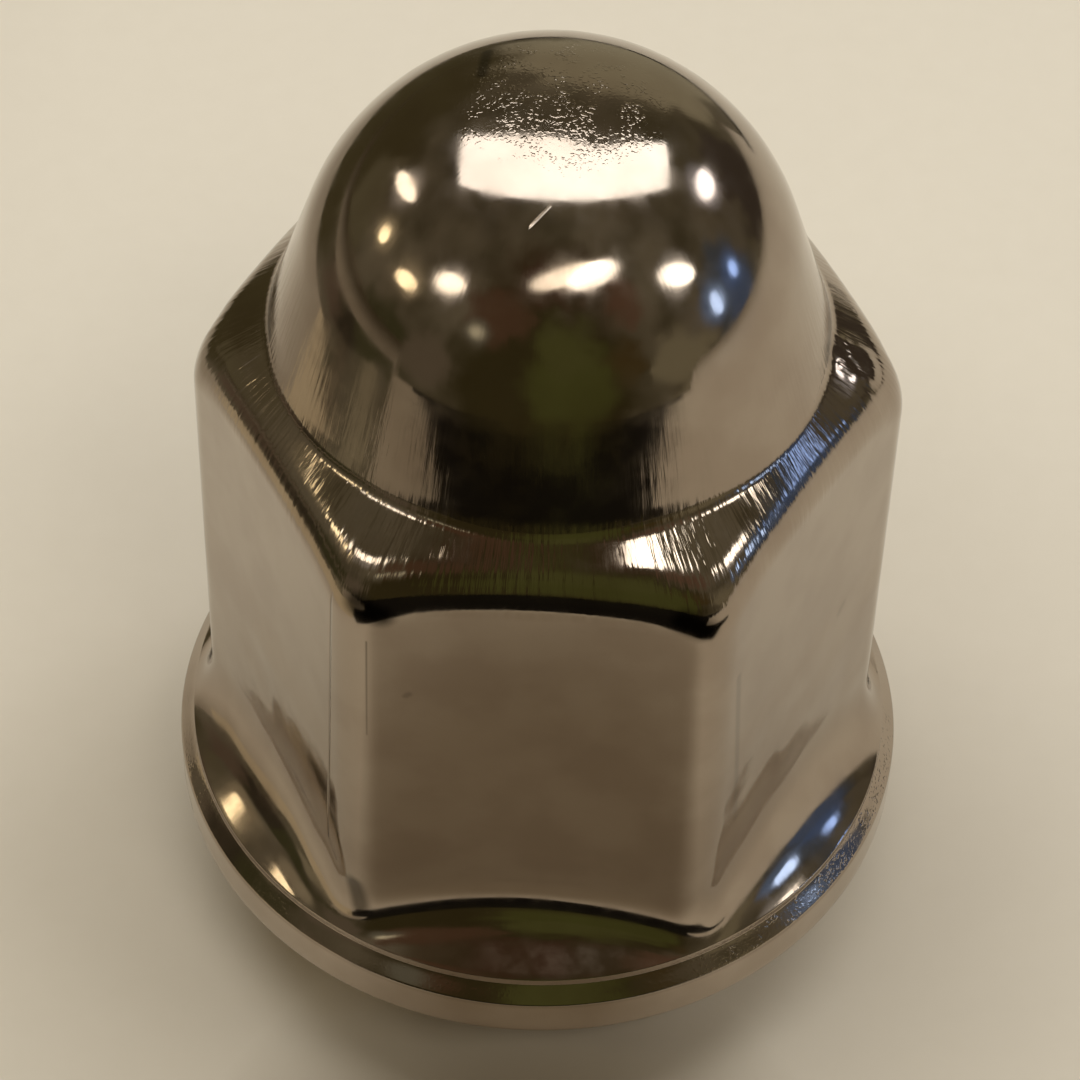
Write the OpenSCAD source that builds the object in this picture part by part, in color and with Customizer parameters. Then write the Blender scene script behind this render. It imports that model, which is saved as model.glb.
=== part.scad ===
/* [Wrench hex] */
// Size across the flats, the spanner size
hex_af = 21; // [19:0.5:24]
// Rounding radius of the six upright corners
hex_corner_r = 1.7; // [0.8:0.1:2.4]
// Height from the flange's underside to the foot of the dome
body_h = 22.4; // [16:0.1:30]
// Slope of the shoulder at the corners, below level
shoulder_angle = 36; // [25:1:45]
// Rounding radius where the shoulder rolls over onto the corners
shoulder_edge_r = 3; // [0.5:0.1:4]
// Steeper slope of the shoulder above the middle of each flat, below level
flat_slope = 52; // [46:1:60]
// Rounding radius where that slope rolls over onto the flat
flat_roll_r = 2.3; // [0.4:0.1:3]
// Radius of the narrow foot under each corner, before it flares
skirt_core_r = 0.9; // [0.6:0.1:1.4]
// Radius of the hollow curve that flares the foot
skirt_r = 6; // [3:0.5:9]
// Gap between each flared foot and the flange's lip
skirt_gap = 0.15; // [0.1:0.05:0.3]

/* [Dome] */
// Diameter of the ball-shaped end
dome_d = 16.9; // [12:0.1:17.2]
// Height of the ball's centre above the foot of the dome
dome_rise = 1.5; // [0.5:0.1:4]
// Flare of the dome's side, away from upright
dome_flare = 17; // [5:1:20]
// Radius of the hollow fillet at the foot of the dome
dome_fillet_r = 0.9; // [0.3:0.1:1.5]

/* [Flange] */
// Reach of the flange beyond the corners of the hex
flange_overhang = 1.2; // [0.9:0.05:2.5]
// Height of the flange's upright rim
rim_h = 1.65; // [0.8:0.05:3]
// Height of the steep bevel above the rim
bevel_h = 0.8; // [0.4:0.05:1.2]
// Width of the bevel, measured level
bevel_w = 0.45; // [0.2:0.05:0.5]
// Height of the fine upright lip inside the bevel
lip_h = 0.25; // [0.1:0.05:0.5]
// Rise of the flange's top towards the flats, above level
flange_slope = 39; // [20:1:50]
// Radius that breaks the rim's lower edge
rim_foot_r = 0.3; // [0.1:0.05:0.5]

/* [Cone seat] */
// Full angle of the conical seat
seat_angle = 60; // [60:30:90]
// Height of the seat below the flange
seat_h = 4.5; // [2:0.1:5]
// Level ledge between the rim and the seat
seat_ledge = 1; // [0.5:0.1:2]
// Chamfer round the seat's lower edge
seat_chamfer = 0.4; // [0.2:0.1:0.8]

/* [Stud thread] */
// Outer diameter of the stud's thread
thread_d = 12; // [10:0.5:12.5]
// Pitch of the thread
thread_pitch = 1.5; // [1:0.25:1.75]
// Depth of the threaded wall, from the seat's end to the last turn
thread_depth = 24; // [12:0.5:25]
// Diameter of the countersunk mouth
mouth_d = 13; // [12.8:0.1:13.6]
// Full angle of the countersunk mouth
mouth_angle = 90; // [60:10:120]
// Full angle of the drilled bottom
drill_angle = 118; // [90:1:140]

/* [Hidden] */
$fn = 96;

// Overlap that carries a solid or a cutter past the face it meets
cut = 1;
// How far each rounding circle stands over its tangent lines, so that they
// cross it cleanly
over = 0.004;
// Least width of the steeper slope above a flat, measured level
slope_least = 0.1;
// Share of that slope's length that its roll may take up
slope_share = 0.8;
// Depth of a metric thread over both sides, as a share of its pitch
thread_depth_ratio = 1.082532;
hex_sides = 6;
hex_step = 360 / hex_sides;

corner_centre_r = (hex_af / 2 - hex_corner_r) / cos(hex_step / 2);
corner_reach = corner_centre_r + hex_corner_r;

flange_r = corner_reach + flange_overhang;
rim_z = seat_h + rim_h;
edge_z = rim_z + bevel_h;
lip_r = flange_r - bevel_w;
lip_z = edge_z + lip_h;
// The flange's top is a cone that runs on inside the hex, up to this radius
flange_core_r = hex_af / 4;
flange_core_z = lip_z + (lip_r - flange_core_r) * tan(flange_slope);

dome_r = dome_d / 2;
foot_z = seat_h + body_h;
dome_z = foot_z + dome_rise;
top_z = dome_z + dome_r;
// Point at which the ball turns into the flared side
flare_r = (dome_r - over) * cos(dome_flare);
flare_z = dome_z + (dome_r - over) * sin(dome_flare);
// Sharp corner at which the flared side would meet the shoulder
foot_r = flare_r + (flare_z - foot_z) * tan(dome_flare);

// Where the shoulder's slope would end, just past the corners of the hex
shoulder_r = corner_reach + hex_corner_r / 8;
shoulder_z = foot_z - (shoulder_r - foot_r) * tan(shoulder_angle);

// The fillet at the dome's foot reaches this far out over the shoulder
fillet_reach = dome_fillet_r / tan((90 + dome_flare + shoulder_angle) / 2) * cos(shoulder_angle);
// The steeper slope starts where the fillet ends, just inside the flat at most
slope_r = min(foot_r + fillet_reach, hex_af / 2 - slope_least);
slope_z = foot_z - (slope_r - foot_r) * tan(shoulder_angle) + over;
// Where the steeper slope would meet the middle of each flat
slope_run = hex_af / 2 - slope_r;
flat_top_z = slope_z - slope_run * tan(flat_slope);
// The roll onto a flat is limited by the length of the slope above it
roll_limit = slope_share * slope_run / cos(flat_slope) / tan(45 - flat_slope / 2);
roll_r = min(flat_roll_r, roll_limit);

// The foot of each corner flares down to the flange's sloping top
skirt_w = flange_overhang - bevel_w - skirt_gap;
skirt_reach = corner_reach + skirt_w;
skirt_foot_z = lip_z + (lip_r - skirt_reach) * tan(flange_slope);
skirt_z = skirt_foot_z + sqrt(skirt_r ^ 2 - (skirt_r - skirt_w) ^ 2);

seat_top_r = flange_r - seat_ledge;
seat_end_r = seat_top_r - seat_h * tan(seat_angle / 2);
seat_chamfer_r = seat_end_r + seat_chamfer * tan(seat_angle / 2);

bore_d = thread_d - thread_pitch * thread_depth_ratio;
mouth_h = (mouth_d - bore_d) / 2 / tan(mouth_angle / 2);
drill_h = bore_d / 2 / tan(drill_angle / 2);

function polar(r, a) = [r * cos(a), r * sin(a)];

// Curved wedge between an arc of radius r and the corner at p, whose sides
// leave p towards the angles a and b. Added, it fills a hollow corner with a
// fillet. Taken away, it rounds a solid corner off.
module corner_wedge(p, r, a, b) {
    half = (b - a) / 2;
    centre = p + polar(r / sin(half), a + half);
    tip = p - polar(r / 3, a + half);
    difference() {
        polygon([tip, p + polar(r / tan(half), a), centre, p + polar(r / tan(half), b)]);
        translate(centre) circle(r + over);
    }
}

// Outline of the hex, its corners rounded by true arcs
module hex_outline() {
    corner_r = hex_af / 2 / cos(hex_step / 2);
    difference() {
        polygon([for (i = [0 : hex_sides - 1]) polar(corner_r, i * hex_step)]);
        for (i = [0 : hex_sides - 1])
            corner_wedge(
                polar(corner_r, i * hex_step), hex_corner_r,
                i * hex_step + 90 + hex_step / 2, i * hex_step + 270 - hex_step / 2
            );
    }
}

// Section across two opposite flats, sloped and rolled over at the top
module flats_section() {
    difference() {
        polygon([
            [-hex_af / 2, edge_z], [hex_af / 2, edge_z], [hex_af / 2, flat_top_z],
            [slope_r, slope_z], [slope_r, top_z + cut], [-slope_r, top_z + cut],
            [-slope_r, slope_z], [-hex_af / 2, flat_top_z]
        ]);
        for (side = [0, 1])
            mirror([side, 0])
                corner_wedge([hex_af / 2, flat_top_z], roll_r, 180 - flat_slope, 270);
    }
}

// Half section of the flared foot round one corner
module skirt_section() {
    difference() {
        translate([0, edge_z]) square([skirt_core_r + skirt_w, skirt_z - edge_z]);
        translate([skirt_core_r - over + skirt_r, skirt_z]) circle(skirt_r);
    }
}

// Half section of the dome, its foot and the shoulder that cuts the hex
module crown_section() {
    difference() {
        polygon([
            [0, seat_h], [shoulder_r, seat_h], [shoulder_r, shoulder_z],
            [foot_r, foot_z], [flare_r, flare_z], [0, flare_z]
        ]);
        corner_wedge([shoulder_r, shoulder_z], shoulder_edge_r, 180 - shoulder_angle, 270);
    }
    intersection() {
        translate([0, dome_z]) circle(dome_r);
        translate([0, dome_z - dome_r]) square([dome_r, dome_d]);
    }
    corner_wedge([foot_r, foot_z], dome_fillet_r, -shoulder_angle, 90 + dome_flare);
}

// Half section of the flange
module flange_section() {
    difference() {
        polygon([
            [0, seat_h], [flange_r, seat_h], [flange_r, rim_z], [lip_r, edge_z],
            [lip_r, lip_z], [flange_core_r, flange_core_z], [0, flange_core_z]
        ]);
        corner_wedge([flange_r, seat_h], rim_foot_r, 90, 180);
    }
}

// Half section of the conical seat
module seat_section() {
    polygon([
        [0, 0], [seat_end_r - seat_chamfer, 0], [seat_chamfer_r, seat_chamfer],
        [seat_top_r, seat_h], [seat_top_r, seat_h + rim_h / 2], [0, seat_h + rim_h / 2]
    ]);
}

// What lies between all three pairs of opposite flats
module flat_rolls() {
    intersection_for (i = [0 : hex_sides / 2 - 1])
        rotate([90, 0, (i + 0.5) * hex_step])
            linear_extrude(hex_af * 2, center = true) flats_section();
}

// Flared foot of each corner of the hex
module corner_skirts() {
    for (i = [0 : hex_sides - 1])
        rotate([0, 0, i * hex_step])
            translate([corner_reach - skirt_core_r, 0, 0]) rotate_extrude() skirt_section();
}

// Blind hole for the stud, at the thread's inner diameter
module stud_bore() {
    cylinder(d = bore_d, h = thread_depth);
    translate([0, 0, thread_depth]) cylinder(d1 = bore_d, d2 = 0, h = drill_h);
    cylinder(d1 = mouth_d, d2 = bore_d, h = mouth_h);
    translate([0, 0, -cut]) cylinder(d = mouth_d, h = cut);
}

module lug_nut() {
    color("silver")
    difference() {
        union() {
            intersection() {
                translate([0, 0, edge_z]) linear_extrude(top_z) hex_outline();
                rotate_extrude() crown_section();
                flat_rolls();
            }
            corner_skirts();
            rotate_extrude() flange_section();
            rotate_extrude() seat_section();
        }
        stud_bore();
    }
}

lug_nut();
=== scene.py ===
import math

import bpy
import numpy as np
from mathutils import Matrix, Quaternion, Vector


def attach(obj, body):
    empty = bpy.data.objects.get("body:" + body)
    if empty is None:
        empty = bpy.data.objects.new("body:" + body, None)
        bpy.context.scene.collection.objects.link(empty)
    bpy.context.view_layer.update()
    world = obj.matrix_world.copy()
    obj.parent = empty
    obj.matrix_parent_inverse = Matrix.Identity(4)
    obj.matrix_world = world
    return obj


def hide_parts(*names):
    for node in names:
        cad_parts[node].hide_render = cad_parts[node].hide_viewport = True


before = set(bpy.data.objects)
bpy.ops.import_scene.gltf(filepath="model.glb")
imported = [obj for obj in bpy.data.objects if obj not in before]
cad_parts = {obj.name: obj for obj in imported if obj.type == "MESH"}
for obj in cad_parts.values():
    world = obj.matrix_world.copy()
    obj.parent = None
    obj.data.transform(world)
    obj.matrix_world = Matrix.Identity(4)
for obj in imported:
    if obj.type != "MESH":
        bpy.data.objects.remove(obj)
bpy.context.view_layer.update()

MM = 0.001

# Real sizes of the nut, in millimetres and degrees
HEX_AF = 21.0
HEX_CORNER_R = 1.7
FOOT_Z = 26.9
SHOULDER_ANGLE = 36.0
DOME_D = 16.9
DOME_RISE = 1.5
DOME_FLARE = 17.0
DOME_FILLET_R = 0.9
FLANGE_OVERHANG = 1.2
FLANGE_SLOPE = 39.0
SEAT_H = 4.5
SEAT_ANGLE = 60.0
SEAT_LEDGE = 1.0
SEAT_CHAMFER = 0.4
RIM_H = 1.7
RIM_FOOT_R = 0.3
BEVEL_H = 0.6
BEVEL_W = 0.5
LIP_H = 0.25
THREAD_D = 12.0
THREAD_PITCH = 1.5
THREAD_DEPTH = 24.0
DRILL_ANGLE = 118.0
MOUTH_D = 13.0

FLAT_SLOPE = 52.0
FLAT_ROLL_R = 2.3
CORNER_ROLL_R = 3.0
# Half width of a corner's own roll, in degrees round the axis
CORNER_ROLL_SPREAD = 9

# Hollow root between the flange's top and the sides
ROOT_R = 3.0
# Share that keeps the root's arc just inside the lip
ROOT_SHARE = 0.96
# Flats whose foot is wider: direction of the flat's middle and half width in
# degrees, and how much is added to the root's radius
WIDE_ROOTS = ((-30, 33, 1.8), (-150, 31, 0.9))

# Small radii that break the edges
LIP_EDGE_R = 0.06
BEVEL_FOOT_R = 0.25
LEDGE_ROOT_R = 0.15
MOUTH_EDGE_R = 0.1

HEX_SIDES = 6
HEX_STEP = 2 * math.pi / HEX_SIDES
CORNER_CENTRE_R = (HEX_AF / 2 - HEX_CORNER_R) / math.cos(HEX_STEP / 2)
CORNER_REACH = CORNER_CENTRE_R + HEX_CORNER_R
FLANGE_R = CORNER_REACH + FLANGE_OVERHANG
RIM_Z = SEAT_H + RIM_H
LIP_R = FLANGE_R - BEVEL_W
EDGE_Z = RIM_Z + BEVEL_H
LIP_Z = EDGE_Z + LIP_H
DOME_R = DOME_D / 2
DOME_Z = FOOT_Z + DOME_RISE
TOP_Z = DOME_Z + DOME_R
# Depth of a metric thread over both sides, as a share of its pitch
THREAD_DEPTH_RATIO = 1.082532
BORE_R = (THREAD_D - THREAD_DEPTH_RATIO * THREAD_PITCH) / 2
MOUTH_H = MOUTH_D / 2 - BORE_R
# Half the flat at the thread's full depth and the width of a flank, in pitches
THREAD_FLAT = 1 / 16
THREAD_FLANK = 5 / 16
# Turns over which the thread fades in at the mouth and out at its end
THREAD_RUN_IN = 0.25
THREAD_RUN_OUT = 1.5
# Steps along each turn of the thread and down the drilled end
THREAD_STEPS = 10
DRILL_STEPS = 6

# Steps along each straight of the half section, from the dome's top to the bore
LINE_STEPS = (1, 8, 7, 34, 5, 1, 3, 5, 3, 7, 4, 3)
# Each corner of the hex turns within this angle either side, in degrees. The mesh
# has as many columns over that turn, and over each flat, as the next two say.
CORNER_TURN = 8
CORNER_COLUMNS = 20
FLAT_COLUMNS = 30


# ---------------------------------------------------------------- outline

def tan_deg(angle):
    return math.tan(math.radians(angle))


def side_radius(z):
    """Radius of the dome's flared side, where it is tangent to the ball."""
    flare = math.radians(DOME_FLARE)
    return DOME_R / math.cos(flare) - (z - DOME_Z) * math.tan(flare)


def from_corner(theta):
    """Angle from the nearest corner of the hex."""
    return (theta + HEX_STEP / 2) % HEX_STEP - HEX_STEP / 2


def hex_radius(theta):
    """Distance from the axis to the rounded hex, in the direction theta."""
    t = np.abs(from_corner(theta))
    on_flat = HEX_AF / 2 / np.cos(HEX_STEP / 2 - t)
    reach = np.maximum(HEX_CORNER_R**2 - (CORNER_CENTRE_R * np.sin(t)) ** 2, 0)
    on_corner = CORNER_CENTRE_R * np.cos(t) + np.sqrt(reach)
    touch = math.atan2(
        HEX_CORNER_R * math.sin(HEX_STEP / 2),
        CORNER_CENTRE_R + HEX_CORNER_R * math.cos(HEX_STEP / 2),
    )
    return np.where(t < touch, on_corner, on_flat)


def rounded_path(corners, lines):
    """Walks from corner to corner and rounds each one with a tangent arc.

    corners holds (r, z, radius, arc steps), where r, z and radius may differ from
    one direction to the next. lines holds the steps of each straight between them.
    """
    points = [np.stack(np.broadcast_arrays(c[0], c[1]), -1) for c in corners]
    shape = np.broadcast_shapes(*[p.shape for p in points])
    points = [np.broadcast_to(p, shape).astype(float) for p in points]
    path = [points[0][None]]
    start = points[0]
    for i in range(1, len(points)):
        last = i == len(points) - 1
        radius = np.zeros(shape[:-1]) if last else np.broadcast_to(corners[i][2], shape[:-1])
        way_in = unit(points[i] - points[i - 1])
        if last:
            arc = points[i][None]
        else:
            way_out = unit(points[i + 1] - points[i])
            arc = tangent_arc(points[i], way_in, way_out, radius, corners[i][3])
        share = np.linspace(0, 1, lines[i - 1] + 1)[1:-1, None, None]
        path.append(start + (arc[0] - start) * share)
        path.append(arc)
        start = arc[-1]
    return np.concatenate(path)


def unit(v):
    return v / np.linalg.norm(v, axis=-1, keepdims=True)


def tangent_arc(corner, into, out, radius, steps):
    """Points of the arc that rounds a corner between two straights."""
    cross = into[:, 0] * out[:, 1] - into[:, 1] * out[:, 0]
    turn = np.arctan2(cross, (into * out).sum(-1))
    reach = radius * np.tan(np.abs(turn) / 2)
    side = np.sign(turn)
    left = np.stack([-into[:, 1], into[:, 0]], -1)
    first = corner - into * reach[:, None]
    centre = first + left * (side * radius)[:, None]
    angles = turn * np.linspace(0, 1, steps + 1)[:, None]
    arm = first - centre
    cos, sin = np.cos(angles), np.sin(angles)
    r, z = arm[:, 0], arm[:, 1]
    return centre + np.stack([r * cos - z * sin, r * sin + z * cos], -1)


def edge_height(radius, foot_r):
    """Height of the sharp edge between the shoulder and a side at this radius."""
    fillet = DOME_FILLET_R / tan_deg((90 + DOME_FLARE + SHOULDER_ANGLE) / 2)
    start = foot_r + fillet * math.cos(math.radians(SHOULDER_ANGLE))
    start_z = FOOT_Z - (start - foot_r) * tan_deg(SHOULDER_ANGLE)
    over_flat = start_z - (HEX_AF / 2 - start) * tan_deg(FLAT_SLOPE)
    over_corner = FOOT_Z - (radius - foot_r) * tan_deg(SHOULDER_ANGLE)
    return np.minimum(over_corner, over_flat)


def root_radius(theta):
    """Radius of the arc at the foot of the sides. It is wider under two flats."""
    radius = ROOT_R + 0 * theta
    for middle, half_width, gain in WIDE_ROOTS:
        off = (theta - math.radians(middle) + math.pi) % (2 * math.pi) - math.pi
        radius = radius + gain * np.exp(-((off / math.radians(half_width)) ** 6))
    return radius


def root_slope(radius, arc_r):
    """Slope at the foot of a side. Where the lip is near, the root arc ends on it."""
    run = np.clip((LIP_R - radius) / arc_r, 0, 1)
    on_lip = math.pi / 2 - np.arccos(1 - ROOT_SHARE * run)
    return np.maximum(np.radians(FLANGE_SLOPE), on_lip)


def outer_path(theta):
    """Half section of the nut from the top of the dome to the mouth of the bore."""
    radius = hex_radius(theta)
    near_corner = np.exp(-((from_corner(theta) / math.radians(CORNER_ROLL_SPREAD)) ** 2))
    roll_r = FLAT_ROLL_R + (CORNER_ROLL_R - FLAT_ROLL_R) * near_corner
    root_r = root_radius(theta)
    root_z = LIP_Z + (LIP_R - radius) * np.tan(root_slope(radius, root_r))
    foot_r = side_radius(FOOT_Z)
    seat_top_r = FLANGE_R - SEAT_LEDGE
    seat_end_r = seat_top_r - SEAT_H * tan_deg(SEAT_ANGLE / 2)
    corners = [
        (0.0, TOP_Z, 0, 0),
        (side_radius(TOP_Z), TOP_Z, DOME_R, 44),
        (foot_r, FOOT_Z, DOME_FILLET_R, 8),
        (radius, edge_height(radius, foot_r), roll_r, 14),
        (radius, root_z, root_r * ROOT_SHARE, 16),
        (LIP_R, LIP_Z, LIP_EDGE_R, 4),
        (LIP_R, EDGE_Z, LIP_EDGE_R, 3),
        (FLANGE_R, RIM_Z, BEVEL_FOOT_R, 8),
        (FLANGE_R, SEAT_H, RIM_FOOT_R, 5),
        (seat_top_r, SEAT_H, LEDGE_ROOT_R, 3),
        (seat_end_r, 0.0, SEAT_CHAMFER, 5),
        (MOUTH_D / 2, 0.0, MOUTH_EDGE_R, 2),
        (BORE_R, MOUTH_H, 0, 0),
    ]
    return rounded_path(corners, LINE_STEPS)


def thread_path(theta):
    """Half section of the blind hole: the turns of the thread, then the drilled end."""
    steps = int((THREAD_DEPTH - MOUTH_H) / THREAD_PITCH * THREAD_STEPS)
    z = np.linspace(MOUTH_H, THREAD_DEPTH, steps + 1)[1:, None] + 0 * theta
    turn = (z / THREAD_PITCH - theta / (2 * math.pi)) % 1.0
    groove = np.clip((np.abs(turn - 0.5) - THREAD_FLAT) / THREAD_FLANK, 0, 1)
    run_out = np.clip((THREAD_DEPTH - z) / (THREAD_RUN_OUT * THREAD_PITCH), 0, 1)
    run_in = np.clip((z - MOUTH_H) / (THREAD_RUN_IN * THREAD_PITCH), 0, 1)
    r = BORE_R + (THREAD_D / 2 - BORE_R) * (1 - groove) * run_out * run_in
    drill = np.linspace(1, 0, DRILL_STEPS + 1)[1:-1, None] + 0 * theta
    drill_h = BORE_R / tan_deg(DRILL_ANGLE / 2)
    drill_z = THREAD_DEPTH + drill_h * (1 - drill)
    r = np.concatenate([r, BORE_R * drill])
    z = np.concatenate([z, drill_z])
    return np.stack([r, z], -1), THREAD_DEPTH + drill_h


# ---------------------------------------------------------------- mesh

def hex_directions():
    """Directions round the axis, closer together where the corners turn."""
    turning = math.radians(CORNER_TURN)
    corner = np.linspace(-turning, turning, CORNER_COLUMNS + 1)[:-1]
    flat = np.linspace(turning, HEX_STEP - turning, FLAT_COLUMNS + 1)[:-1]
    sector = np.concatenate([corner, flat])
    return np.concatenate([sector + i * HEX_STEP for i in range(HEX_SIDES)])


def ring_points(path, theta):
    """Turns (r, z) rows into x, y, z rows."""
    r, z = path[..., 0], path[..., 1]
    return np.stack([r * np.cos(theta), r * np.sin(theta), z + 0 * theta], -1)


def grid_quads(rows, columns, first):
    """Quads between the rings of a grid whose columns close on themselves."""
    i, j = np.meshgrid(np.arange(rows - 1), np.arange(columns), indexing="ij")
    k = (j + 1) % columns
    a, b = first + i * columns, first + (i + 1) * columns
    quads = np.stack([a + j, b + j, b + k, a + k], -1).reshape(-1, 4)
    return [tuple(quad) for quad in quads.tolist()]


def seam_faces(outer_ring, outer_columns, inner_ring, inner_columns):
    """Triangles between a ring and the next, which has half as many points."""
    faces = []
    for j in range(inner_columns):
        k = (j + 1) % inner_columns
        a, b, c = (outer_ring + (2 * j + s) % outer_columns for s in range(3))
        faces.append((a, inner_ring + j, b))
        faces.append((b, inner_ring + j, inner_ring + k))
        faces.append((b, inner_ring + k, c))
    return faces


def nut_mesh():
    """One closed mesh: the crown, hex, flange and seat, then the threaded hole."""
    theta = hex_directions()
    # The path's first two rows lie on the axis, where one point stands for them
    outer = ring_points(outer_path(theta)[2:], theta)
    rows, columns = outer.shape[:2]
    inner_theta = theta[::2]
    path, end_z = thread_path(inner_theta)
    inner = ring_points(path, inner_theta)
    inner_rows, inner_columns = inner.shape[:2]
    first_inner = 1 + rows * columns
    last_outer = first_inner - columns
    tip = first_inner + inner_rows * inner_columns
    last_inner = tip - inner_columns

    faces = [(0, 1 + j, 1 + (j + 1) % columns) for j in range(columns)]
    faces += grid_quads(rows, columns, 1)
    faces += seam_faces(last_outer, columns, first_inner, inner_columns)
    faces += grid_quads(inner_rows, inner_columns, first_inner)
    for j in range(inner_columns):
        faces.append((last_inner + j, tip, last_inner + (j + 1) % inner_columns))
    points = np.concatenate([
        [[0, 0, TOP_Z]], outer.reshape(-1, 3), inner.reshape(-1, 3), [[0, 0, end_z]],
    ])
    mesh = bpy.data.meshes.new("plated_nut")
    mesh.from_pydata((points * MM).tolist(), [], faces)
    mesh.validate()
    mesh.shade_smooth()
    return mesh


# ---------------------------------------------------------------- nodes

# Vector operations whose result is a number
TO_NUMBER = ("LENGTH", "DISTANCE", "DOT_PRODUCT")


class Net:
    """Short calls that add nodes to one node tree and link them."""

    def __init__(self, tree):
        self.tree = tree

    def add(self, kind, **settings):
        node = self.tree.nodes.new(kind)
        for name, value in settings.items():
            setattr(node, name, value)
        return node

    def feed(self, socket, value):
        if isinstance(value, bpy.types.NodeSocket):
            self.tree.links.new(value, socket)
        else:
            socket.default_value = value

    def math(self, operation, *values):
        node = self.add("ShaderNodeMath", operation=operation)
        for socket, value in zip(node.inputs, values):
            self.feed(socket, value)
        return node.outputs[0]

    def vector(self, operation, *values):
        node = self.add("ShaderNodeVectorMath", operation=operation)
        for socket, value in zip(node.inputs, values):
            self.feed(socket, value)
        return node.outputs["Value" if operation in TO_NUMBER else "Vector"]

    def position(self):
        """The place on the object, in millimetres."""
        coordinates = self.add("ShaderNodeTexCoord")
        return self.vector("MULTIPLY", coordinates.outputs["Object"], (1 / MM, 1 / MM, 1 / MM))

    def split(self, vector):
        node = self.add("ShaderNodeSeparateXYZ")
        self.feed(node.inputs[0], vector)
        return node.outputs[0], node.outputs[1], node.outputs[2]

    def join(self, x, y, z):
        node = self.add("ShaderNodeCombineXYZ")
        for socket, value in zip(node.inputs, (x, y, z)):
            self.feed(socket, value)
        return node.outputs[0]

    def noise(self, vector, scale, detail, output="Fac"):
        node = self.add("ShaderNodeTexNoise")
        self.feed(node.inputs["Vector"], vector)
        node.inputs["Scale"].default_value = scale
        node.inputs["Detail"].default_value = detail
        return node.outputs[output]

    def ramp(self, value, low, high, start=0.0, end=1.0):
        """Smooth step from start to end while value goes from low to high."""
        node = self.add("ShaderNodeMapRange", interpolation_type="SMOOTHSTEP")
        for socket, number in zip(node.inputs, (value, low, high, start, end)):
            self.feed(socket, number)
        return node.outputs[0]

    def mix(self, amount, first, second):
        """Blends two colours, each a socket or three numbers."""
        node = self.add("ShaderNodeMix", data_type="RGBA")
        self.feed(node.inputs["Factor"], amount)
        for index, colour in ((6, first), (7, second)):
            self.feed(node.inputs[index], (*colour, 1) if isinstance(colour, tuple) else colour)
        return node.outputs[2]

    def product(self, *values):
        result = values[0]
        for value in values[1:]:
            result = self.math("MULTIPLY", result, value)
        return result

    def total(self, *values):
        result = values[0]
        for value in values[1:]:
            result = self.math("ADD", result, value)
        return result


def shaded(name):
    """A new material, its nodes and its shader."""
    material = bpy.data.materials.new(name)
    material.use_nodes = True
    return material, Net(material.node_tree), material.node_tree.nodes["Principled BSDF"]


# ---------------------------------------------------------------- materials

def streaks(net, place, across, along):
    """Fine brush lines that run up the side, and out along the shoulder."""
    x, y, z = net.split(place)
    radius = net.vector("LENGTH", net.join(x, y, 0.0))
    cos = net.product(net.math("DIVIDE", x, radius), across)
    sin = net.product(net.math("DIVIDE", y, radius), across)
    travel = net.product(net.math("SUBTRACT", radius, z), along)
    return net.noise(net.join(cos, sin, travel), 1.0, 3.0)


def band(net, value, low, high, soft):
    """1 between low and high, fading out over soft."""
    rise = net.ramp(value, low - soft, low + soft)
    return net.product(rise, net.ramp(value, high - soft, high + soft, 1.0, 0.0))


def spot(net, place, centre, radius, soft):
    """1 near a point of the surface, fading out past radius."""
    return net.ramp(net.vector("DISTANCE", place, centre), radius, radius + soft, 1.0, 0.0)


# Colours, each as a darker and a lighter patch
CHROME = ((0.325, 0.266, 0.212), (0.37, 0.311, 0.252))
# Painted sheen: a lighter chrome for the rim, which reflects brighter
RIM_PAINTED_SHEEN = ((0.44, 0.37, 0.30), (0.50, 0.43, 0.36))
CREAM_PAPER = ((0.78, 0.71, 0.58), (0.81, 0.74, 0.61))
DIM_ROOM = ((0.085, 0.072, 0.040), (0.19, 0.165, 0.112))
# Painted shade and painted dark reflections, laid on by the marks below
PAINTED_DARK = (0.03, 0.024, 0.015)
PAPER_SHADE = (0.29, 0.235, 0.16)
CLOTH_TINT = (1.0, 0.86, 0.6)

# Places on the metal, in millimetres: heights from and to, or a round spot's
# middle, radius and fade
SHOULDER_BAND = (24.6, 27.2)
DOME_SIDE_BAND = (27.4, 29.6)
FOOT_BAND = (LIP_Z + 0.6, 16.0)
RUBBED_CROWN = ((0.1, 0.5, 36.8), 2.3, 1.5)
RIPPLED_CORNER = ((10.0, -0.5, 26.3), 0.6, 0.7)

# Heights of the metal's fine relief, in millimetres
SHOULDER_BRUSH = 0.020
SIDE_BRUSH = 0.013
FAINT_BRUSH = 0.001
WAVE = 0.02
FOOT_WAVE = 0.13
GRAIN = 0.009
RIPPLE = 0.11
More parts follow.
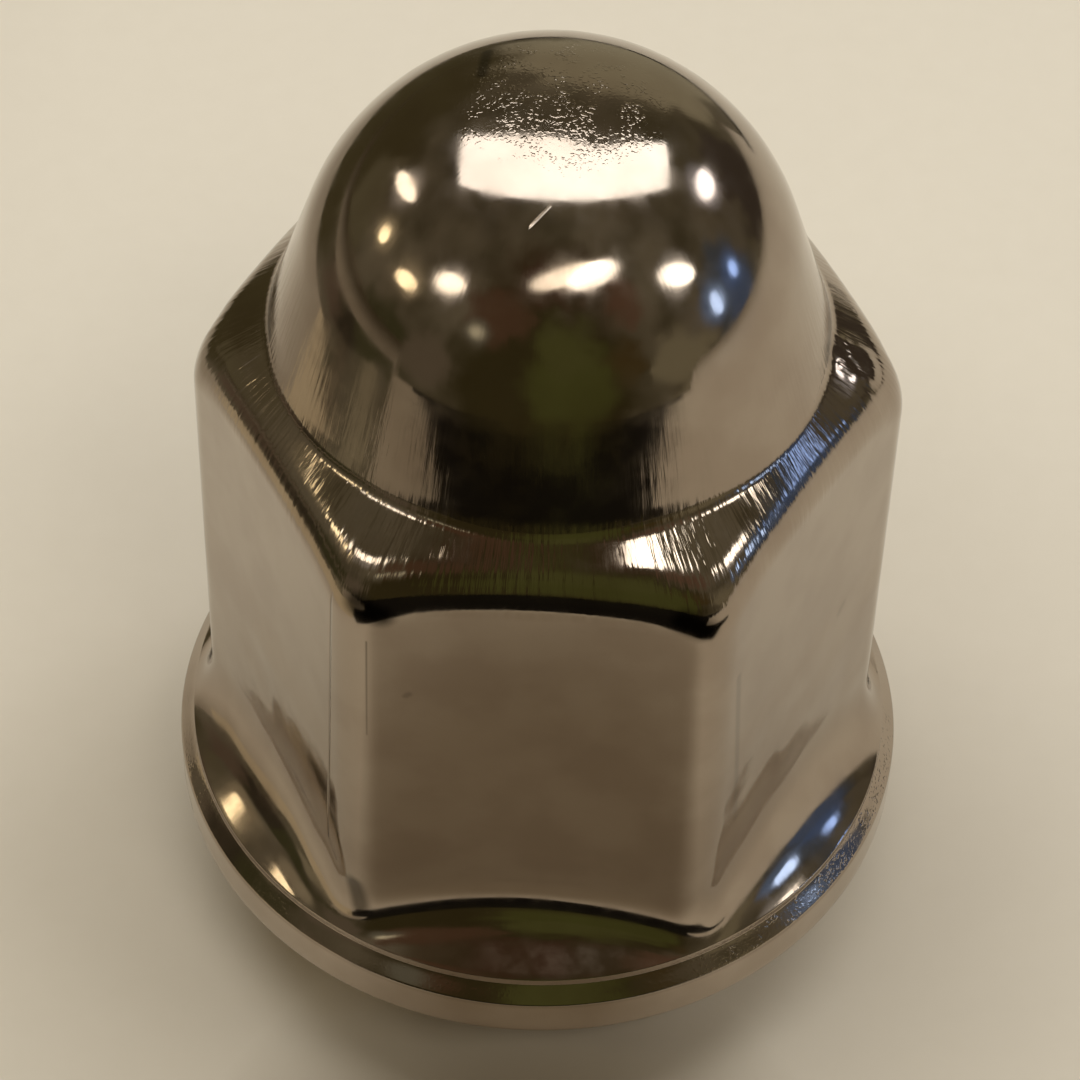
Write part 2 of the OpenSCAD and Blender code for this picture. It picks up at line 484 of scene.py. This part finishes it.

# Marks on the metal with painted shade: both ends in millimetres, half width, depth and darkening.
# The darkening is painted shade in the creases, at the pits and at the foot, and painted dark
# reflections at the front corners, in the dome's fillet and on the dome. Only the left crease and
# the dome's scratch are also cut as grooves.
MARKS_AND_PAINTED_SHADE = {
    "left_crease_shade": ((-6.5, -9.8, 25.0), (-7.0, -9.0, 10.0), 0.11, 0.018, 0.50),
    "right_crease_shade": ((6.7, -9.4, 20.5), (7.05, -8.8, 12.0), 0.24, 0.0, 0.28),
    "front_shade_line": ((-5.35, -10.5, 22.8), (-5.4, -10.5, 17.9), 0.06, 0.0, 0.60),
    "front_pit_shade": ((-4.1, -10.5, 20.1), (-4.0, -10.5, 20.2), 0.18, 0.0, 0.28),
    "foot_shade": ((-5.97, -10.25, 9.1), (-5.75, -10.5, 8.2), 0.55, 0.0, 0.70),
    "left_corner_dark_reflection": ((-5.65, -10.25, 24.4), (-4.9, -10.45, 24.1), 0.70, 0.0, 0.88),
    "right_corner_dark_reflection": ((4.75, -10.4, 24.5), (5.4, -10.4, 24.1), 0.68, 0.0, 0.88),
    "side_pit_shade": ((10.3, -3.2, 16.5), (10.4, -3.0, 16.7), 0.3, 0.0, 0.20),
    "dome_scratch": ((-0.02, -3.65, 36.02), (-0.68, -4.35, 35.66), 0.05, 0.015, 0.0),
    "dome_dark_reflection": ((-2.3, 3.2, 35.9), (-2.4, 1.7, 36.35), 0.30, 0.0, 0.65),
    "fillet_left_dark_reflection": ((-9.2, 1.5, 27.2), (-9.1, -1.5, 27.2), 0.35, 0.0, 0.5),
    "fillet_right_dark_reflection": ((9.2, 2.0, 27.3), (9.15, -1.4, 27.3), 0.40, 0.0, 0.5),
}


def stroke(net, place, start, end, width):
    """1 on the line from start to end, fading out over its half width."""
    start = Vector(start)
    along = Vector(end) - start
    from_start = net.vector("SUBTRACT", place, start[:])
    share = net.product(net.vector("DOT_PRODUCT", from_start, along[:]), 1 / along.length_squared)
    share.node.use_clamp = True
    nearest = net.join(*(net.product(share, c) for c in along))
    return net.ramp(net.vector("DISTANCE", from_start, nearest), 0.2 * width, width, 1.0, 0.0)


def brush_lines(net, place, z):
    """Fine brush lines, strongest on the shoulder and on the dome's side."""
    on_shoulder = net.product(band(net, z, *SHOULDER_BAND, 0.4), SHOULDER_BRUSH)
    on_side = net.product(band(net, z, *DOME_SIDE_BAND, 1.6), SIDE_BRUSH)
    return net.product(streaks(net, place, 52.0, 0.35), net.total(on_shoulder, on_side, FAINT_BRUSH))


def waves(net, place, x, z):
    """Slow unevenness of the forging, stronger low down beside the front flat."""
    beside = net.ramp(net.math("ABSOLUTE", x), 5.0, 7.5, 0.25, 1.0)
    swell = net.product(band(net, z, *FOOT_BAND, 1.5), beside, FOOT_WAVE)
    return net.product(net.noise(place, 0.26, 1.0), net.math("ADD", swell, WAVE))


def glitter(net, place, x, z, patches):
    """Scattered grains on the rubbed crown, and on the bevel towards the right."""
    rubbed = net.ramp(patches, 0.36, 0.60, 0.1, 1.1)
    on_crown = net.product(spot(net, place, *RUBBED_CROWN), rubbed)
    rougher = net.ramp(x, 4.0, 8.0, 0.15, 0.65)
    clumps = net.ramp(patches, 0.4, 0.6, 0.3, 1.1)
    on_bevel = net.product(band(net, z, RIM_Z, LIP_Z, 0.08), rougher, clumps)
    grains = net.ramp(net.noise(place, 8.0, 1.0), 0.50, 0.72)
    return net.product(grains, net.total(on_crown, on_bevel), GRAIN)


def chrome():
    """Warm worn chrome: brushed, rippled and marked where the photographed nut is, with painted
    shade, painted dark reflections and a painted sheen on the rim.
    """
    material, net, shader = shaded("chrome")
    place = net.position()
    x, _, z = net.split(place)
    patches = net.noise(place, 1.3, 1.0)
    height = net.total(
        brush_lines(net, place, z),
        waves(net, place, x, z),
        glitter(net, place, x, z, patches),
        net.product(patches, spot(net, place, *RIPPLED_CORNER), RIPPLE),
    )

    stain = net.ramp(net.noise(place, 0.35, 4.0), 0.35, 0.65)
    # Painted sheen: below the bevel, on the rim and the seat, the chrome is lighter
    rim_sheen = net.ramp(z, RIM_Z - 0.2, RIM_Z, 1.0, 0.0)
    colour = net.mix(rim_sheen, net.mix(stain, *CHROME), net.mix(stain, *RIM_PAINTED_SHEEN))
    for start, end, width, depth, darkening in MARKS_AND_PAINTED_SHADE.values():
        mark = stroke(net, place, start, end, width)
        if depth:
            height = net.math("SUBTRACT", height, net.product(mark, depth))
        # Painted shade and painted dark reflections: each mark darkens the colour
        if darkening:
            colour = net.mix(net.product(mark, darkening), colour, PAINTED_DARK)

    bump = net.add("ShaderNodeBump")
    bump.inputs["Strength"].default_value = 1.0
    bump.inputs["Distance"].default_value = MM
    net.feed(bump.inputs["Height"], height)
    net.feed(shader.inputs["Normal"], bump.outputs["Normal"])
    net.feed(shader.inputs["Base Color"], colour)
    net.feed(shader.inputs["Roughness"], net.ramp(net.noise(place, 1.2, 4.0), 0.3, 0.7, 0.07, 0.14))
    shader.inputs["Metallic"].default_value = 1.0
    return material


def floor_material():
    """Pale cream paper with painted shade: darker round the nut, in a painted shadow in front of it
    and away to the left.
    """
    material, net, shader = shaded("studio_floor")
    place = net.position()
    x, _, _ = net.split(place)
    cream = net.mix(net.noise(place, 0.8, 4.0), *CREAM_PAPER)
    # Painted shade round the nut and away to the left, and a painted shadow in front of the nut
    beside = net.ramp(net.vector("LENGTH", place), 14.0, 34.0, 0.28, 0.0)
    left = net.ramp(x, -20.0, -56.0, 0.0, 0.62)
    squeezed = net.vector("MULTIPLY", place, (1.0, 0.85, 1.0))
    front = net.ramp(net.vector("DISTANCE", squeezed, (0.0, -17.0, 0.0)), 4.0, 17.0, 0.97, 0.0)
    shade = net.math("MAXIMUM", net.math("MAXIMUM", beside, left), front)
    net.feed(shader.inputs["Base Color"], net.mix(shade, cream, PAPER_SHADE))
    shader.inputs["Roughness"].default_value = 0.8
    return material


def room_colour(net, direction):
    """Colour of the dim room in a direction from the dome."""
    mottle = net.ramp(net.noise(direction, 2.6, 3.0), 0.3, 0.7)
    colour = net.mix(mottle, *DIM_ROOM)
    warp = net.noise(direction, 5.0, 3.0, "Color")
    wander = net.vector("MULTIPLY", net.vector("SUBTRACT", warp, (0.5,) * 3), (ROOM_WANDER,) * 3)
    wandered = net.vector("NORMALIZE", net.vector("ADD", direction, wander))
    for azimuth, elevation, radius, fade, tint in ROOM:
        colour = glow(net, colour, wandered, (azimuth, elevation), radius, fade, tint)
    for azimuth, elevation, wide, tall, _, _, strength, tint in LAMPS.values():
        if elevation > HALO_TOP:
            continue
        halo = tuple(c * (HALO_LEAST + HALO_GAIN * strength) for c in tint)
        fade = HALO_FADE + HALO_SPREAD * wide
        colour = glow(net, colour, direction, (azimuth, elevation), tall / 2, fade, halo)
    return colour


def glow(net, colour, direction, place, radius, fade, tint):
    """Lays a soft round patch over the colour."""
    closeness = net.vector("DOT_PRODUCT", direction, toward(*place)[:])
    edge, middle = (math.cos(math.radians(a)) for a in (radius + fade, radius))
    return net.mix(net.ramp(closeness, edge, middle), colour, tint)


def backdrop_material():
    """Glowing backdrop, though no lamp, that carries the room's colours down to the floor as painted
    room light.
    """
    material, net, shader = shaded("room_glow_backdrop")
    direction = net.vector("NORMALIZE", net.vector("SUBTRACT", net.position(), (0, 0, DOME_Z)))
    net.feed(shader.inputs["Emission Color"], room_colour(net, direction))
    shader.inputs["Emission Strength"].default_value = 1.0
    shader.inputs["Base Color"].default_value = (0, 0, 0, 1)
    shader.inputs["Specular IOR Level"].default_value = 0.0
    material.cycles.emission_sampling = "NONE"
    return material


def cloth_material(name, dark, light):
    """Dull woven cloth of the room's tint, between two brightnesses."""
    material, net, shader = shaded(name)
    weave = net.noise(net.position(), 0.3, 3.0)
    threads = (tuple(level * c for c in CLOTH_TINT) for level in (dark, light))
    net.feed(shader.inputs["Base Color"], net.mix(weave, *threads))
    shader.inputs["Roughness"].default_value = 0.9
    shader.inputs["Specular IOR Level"].default_value = 0.1
    return material


def panel_material():
    """Even glow of the big soft box, a little uneven like its cloth."""
    material, net, shader = shaded("soft_box")
    cloth = net.ramp(net.noise(net.position(), 0.02, 2.0), 0.3, 0.7, 0.94, 1.0)
    net.feed(shader.inputs["Emission Strength"], net.product(cloth, KEY_STRENGTH))
    shader.inputs["Emission Color"].default_value = (1, 1, 1, 1)
    shader.inputs["Base Color"].default_value = (0, 0, 0, 1)
    return material


# ---------------------------------------------------------------- stage

# The camera's place and aim, in millimetres from the middle of the nut's base
CAMERA_AT = (1.854, -92.526, 125.798)
CAMERA_FORWARD = (-0.01365, 0.64363, -0.76522)
CAMERA_UP = (-0.04586, 0.76408, 0.64349)
CAMERA_LENS = 137.27

# The soft box lies level over the dome. Its edges bow forward in the middle. All
# are shares of its height over the dome: middle, half width, then for each edge
# its place, bow, skew and dip.
KEY_MID = 0.12
KEY_HALF = 0.89
KEY_NEAR = (-0.075, 0.36, 0.10, 0.0)
KEY_FAR = (0.50, 0.40, 0.12, 0.10)
# Where along the edge its dip lies and how wide the dip is, as shares of half the edge
KEY_DIP_AT = 0.2
KEY_DIP_WIDTH = 0.22
KEY_STEPS = 24
KEY_STRENGTH = 3.6
KEY_H = 300.0

# Faint halo of each lamp: least brightness and gain with the lamp's strength, fade
# in degrees and gain with its width. Lamps higher than HALO_TOP have none.
HALO_LEAST = 0.12
HALO_GAIN = 0.06
HALO_FADE = 4
HALO_SPREAD = 0.12
HALO_TOP = 50

# Small oval lamps round the dome: azimuth from the front, elevation, width, height
# and tilt in degrees, distance, strength and colour
LAMPS = {
    "front_bar": (14, 52.6, 34, 8, 8, 300, 3.5, (1.0, 0.93, 0.80)),
    "bar_end": (30, 50.3, 23, 10, 4, 300, 4.5, (1.0, 0.97, 0.92)),
    "left_front": (-54, 33.5, 14, 8, 28, 140, 4.5, (1.0, 0.94, 0.84)),
    "left_warm": (-72, 20.5, 11, 6, 20, 122, 4.4, (1.0, 0.86, 0.58)),
    "left_small": (-95.5, 18, 6, 6, 0, 300, 4.2, (1.0, 0.85, 0.55)),
    "left_back": (-110, 28, 17, 6, 35, 300, 4.0, (1.0, 0.92, 0.80)),
    "front_faint": (-32, 22, 6, 5, 0, 300, 0.9, (1.0, 0.95, 0.7)),
    "right_front": (72, 29.5, 18, 9.5, -38, 300, 5.0, (1.0, 0.97, 0.92)),
    "right_back": (118, 25, 14, 8, -30, 300, 5.0, (0.93, 0.93, 1.0)),
    "blue_low": (95, 9, 5, 6, 0, 230, 3.4, (0.30, 0.48, 1.0)),
    "blue_high": (80, 8.5, 6, 9, 0, 230, 4.2, (0.42, 0.60, 1.0)),
}

# Soft patches of the dim room: azimuth, elevation, radius and fade in degrees, colour
ROOM = [
    (0, 40, 18, 14, (0.075, 0.055, 0.028)),
    (0, 48, 6, 9, (0.085, 0.045, 0.026)),
    (0, 0, 30, 16, (0.054, 0.044, 0.017)),
    (10, 6, 6, 18, (0.095, 0.100, 0.028)),
    (8, 22, 4, 12, (0.105, 0.108, 0.034)),
    (40, 37, 3, 10, (0.16, 0.095, 0.06)),
    (-24, 31, 4, 12, (0.12, 0.070, 0.04)),
    (34, 12, 3, 9, (0.085, 0.060, 0.022)),
    (57, 2, 8, 6, (0.25, 0.22, 0.14)),
    (90, 5, 8, 12, (0.085, 0.10, 0.12)),
    (92, 0, 6, 5, (0.10, 0.14, 0.24)),
    (110, 14, 4, 8, (0.15, 0.13, 0.09)),
    (130, 5, 8, 8, (0.075, 0.06, 0.045)),
    (172, 8, 20, 6, (0.38, 0.34, 0.23)),
    (-140, 0, 20, 16, (0.085, 0.07, 0.032)),
    (-115, 8, 7, 9, (0.15, 0.13, 0.075)),
    (-96, -10, 7, 8, (0.15, 0.11, 0.075)),
    (-74, -6, 8, 9, (0.07, 0.067, 0.030)),
    (-50, 2, 4, 9, (0.16, 0.13, 0.09)),
    (-84, -13, 4, 4, (0.055, 0.045, 0.028)),
    (-70, -26, 6, 4, (0.30, 0.26, 0.17)),
]
# How far the patches' outlines wander, as a share of the distance to them
ROOM_WANDER = 0.45

# Upright glowing backdrop round the nut, painted with the room's light: (azimuth, radius, lowest z,
# highest z) at each turn
BACKDROPS = {
    "left_backdrop": [
        (-176, 125, 0, 34), (-145, 115, 0, 30), (-120, 85, 0, 24), (-100, 68, 0, 20),
        (-60, 68, 0, 20),
    ],
    "front_backdrop": [(-60, 125, 0, 34), (58, 125, 0, 34)],
    "right_backdrop": [(58, 125, 4, 34), (66, 400, 0, 60), (147, 400, 0, 60)],
    "back_backdrop": [(147, 125, 4.5, 34), (184, 125, 4.5, 34)],
}
# Dark foot in front of the back backdrop, in the same values
BLACK_STRIP = [(145, 124, 0, 4.6), (190, 124, 0, 4.6)]
ARC_STEPS = 60

# Painted shade: cloths just over the floor, seen only in reflections, which darken what the nut
# reflects of the floor. Each is (azimuth, inner radius, outer radius) at each turn. The black ones
# lie in front, near the nut and farther out, the dim one at the left.
MAT_Z = 0.2
BLACK_SHADE_MAT = [(-47, 50, 62), (-38, 34, 62), (40, 34, 62), (50, 50, 62), (60, 56, 62)]
FAR_SHADE_MAT = [
    (-52, 116, 126), (-45, 108, 126), (-37, 98, 126), (-29, 60, 126), (-27, 34, 126), (28, 34, 126),
    (30, 60, 126), (39, 98, 126), (47, 108, 126), (54, 116, 126),
]
DIM_SHADE_MAT = [(-104, 44, 70), (-90, 40, 70), (-43, 38, 70)]
# Darkest and lightest thread of each cloth. On the mats the black cloth stands in for shade, and the
# dim cloth is painted shade.
BLACK_CLOTH = (0.006, 0.016)
DIM_SHADE_CLOTH = (0.70, 0.78)


def toward(azimuth, elevation=0.0):
    """Unit vector by its azimuth from the front and its elevation, in degrees."""
    a, e = math.radians(azimuth), math.radians(elevation)
    return Vector((math.sin(a) * math.cos(e), -math.cos(a) * math.cos(e), math.sin(e)))


def add_camera():
    """The camera that took the picture, as fitted to it."""
    data = bpy.data.cameras.new("camera")
    data.lens = CAMERA_LENS
    data.sensor_width = 36
    data.clip_start = 0.005
    data.clip_end = 10
    camera = bpy.data.objects.new("camera", data)
    bpy.context.scene.collection.objects.link(camera)
    back = -Vector(CAMERA_FORWARD).normalized()
    up = Vector(CAMERA_UP).normalized()
    right = up.cross(back).normalized()
    up = back.cross(right)
    turn = Matrix((right, up, back)).transposed().to_4x4()
    camera.matrix_world = Matrix.Translation(Vector(CAMERA_AT) * MM) @ turn
    bpy.context.scene.camera = camera


def add_floor():
    """Wide round sheet of paper under the nut."""
    bpy.ops.mesh.primitive_circle_add(vertices=128, radius=1.5, fill_type="NGON")
    floor = bpy.context.object
    floor.name = "floor"
    floor.data.materials.append(floor_material())


def hide_from_picture(thing):
    """Keeps a stage piece to the reflections, out of sight and out of the light."""
    thing.visible_camera = False
    thing.visible_diffuse = False
    thing.visible_shadow = False


def add_strip(name, rows, material):
    """Mesh between two rows of points, in millimetres."""
    near, far = rows
    points = [tuple(c * MM for c in p) for pair in zip(near, far) for p in pair]
    quads = [(2 * i, 2 * i + 2, 2 * i + 3, 2 * i + 1) for i in range(len(near) - 1)]
    mesh = bpy.data.meshes.new(name)
    mesh.from_pydata(points, [], quads)
    mesh.materials.append(material)
    strip = bpy.data.objects.new(name, mesh)
    bpy.context.scene.collection.objects.link(strip)
    return strip


def arc_rows(azimuths, edges):
    """Points along each edge of an arc round the nut. An edge is radii and heights."""
    turns = np.linspace(azimuths[0], azimuths[-1], ARC_STEPS + 1)
    return [
        [toward(a) * np.interp(a, azimuths, radii) + Vector((0, 0, np.interp(a, azimuths, heights)))
         for a in turns]
        for radii, heights in edges
    ]


def add_backdrops():
    """Glowing backdrops, a dark strip and painted-shade cloths, seen only as reflections."""
    room_glow, black = backdrop_material(), cloth_material("black_cloth", *BLACK_CLOTH)
    arcs = [(name, room_glow, stations) for name, stations in BACKDROPS.items()]
    arcs.append(("black_strip", black, BLACK_STRIP))
    for name, material, stations in arcs:
        azimuths, radii, lows, highs = zip(*stations)
        edges = ((radii, lows), (radii, highs))
        hide_from_picture(add_strip(name, arc_rows(azimuths, edges), material))
    # Painted shade: dark and dim cloths over the floor, seen only in reflections
    for name, material, stations in (
        ("black_shade_mat", black, BLACK_SHADE_MAT),
        ("far_shade_mat", black, FAR_SHADE_MAT),
        ("dim_shade_mat", cloth_material("dim_shade_cloth", *DIM_SHADE_CLOTH), DIM_SHADE_MAT),
    ):
        azimuths, inner, outer = zip(*stations)
        level = [MAT_Z] * len(azimuths)
        edges = ((inner, level), (outer, level))
        hide_from_picture(add_strip(name, arc_rows(azimuths, edges), material))


def add_lamp(name, direction, width, height, tilt, distance, strength, colour):
    """A soft oval lamp of even brightness that faces the dome."""
    reach = 2 * distance * MM
    data = bpy.data.lights.new(name, "AREA")
    data.shape = "ELLIPSE"
    data.size = reach * tan_deg(width / 2)
    data.size_y = reach * tan_deg(height / 2)
    data.energy = strength * math.pi * math.pi / 4 * data.size * data.size_y
    data.color = colour
    lamp = bpy.data.objects.new(name, data)
    bpy.context.scene.collection.objects.link(lamp)
    lamp.location = (Vector((0, 0, DOME_Z)) + direction * distance) * MM
    lamp.rotation_mode = "QUATERNION"
    aim = (-direction).to_track_quat("-Z", "Y")
    lamp.rotation_quaternion = aim @ Quaternion((0, 0, 1), math.radians(tilt))
    lamp.visible_camera = False


def add_lamps():
    """The big soft box over the nut and the small lamps round it."""
    share = np.linspace(-1, 1, KEY_STEPS + 1)
    hollow = np.exp(-(((share - KEY_DIP_AT) / KEY_DIP_WIDTH) ** 2))
    rows = []
    for place, bow, skew, dip in (KEY_NEAR, KEY_FAR):
        depth = place + bow * share**2 + skew * share - dip * hollow
        rows.append([
            Vector(((KEY_MID + KEY_HALF * s) * KEY_H, d * KEY_H, DOME_Z + KEY_H))
            for s, d in zip(share, depth)
        ])
    soft_box = add_strip("soft_box", rows, panel_material())
    soft_box.visible_camera = False
    for name, (azimuth, elevation, *rest) in LAMPS.items():
        add_lamp(name, toward(azimuth, elevation), *rest)


def add_room():
    """The dim room beyond the backdrops, as the world's colour."""
    world = bpy.data.worlds.new("room")
    bpy.context.scene.world = world
    world.use_nodes = True
    net = Net(world.node_tree)
    direction = net.add("ShaderNodeTexCoord").outputs["Generated"]
    background = world.node_tree.nodes["Background"]
    net.feed(background.inputs["Color"], room_colour(net, direction))
    background.inputs["Strength"].default_value = 1.0
    world.cycles.sampling_method = "NONE"


# ---------------------------------------------------------------- build

nut = bpy.data.objects.new("plated_nut", nut_mesh())
bpy.context.scene.collection.objects.link(nut)
nut.data.materials.append(chrome())
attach(nut, "root")
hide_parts("lug_nut")

add_camera()
add_floor()
add_backdrops()
add_lamps()
add_room()
bpy.context.scene.view_settings.view_transform = "Standard"
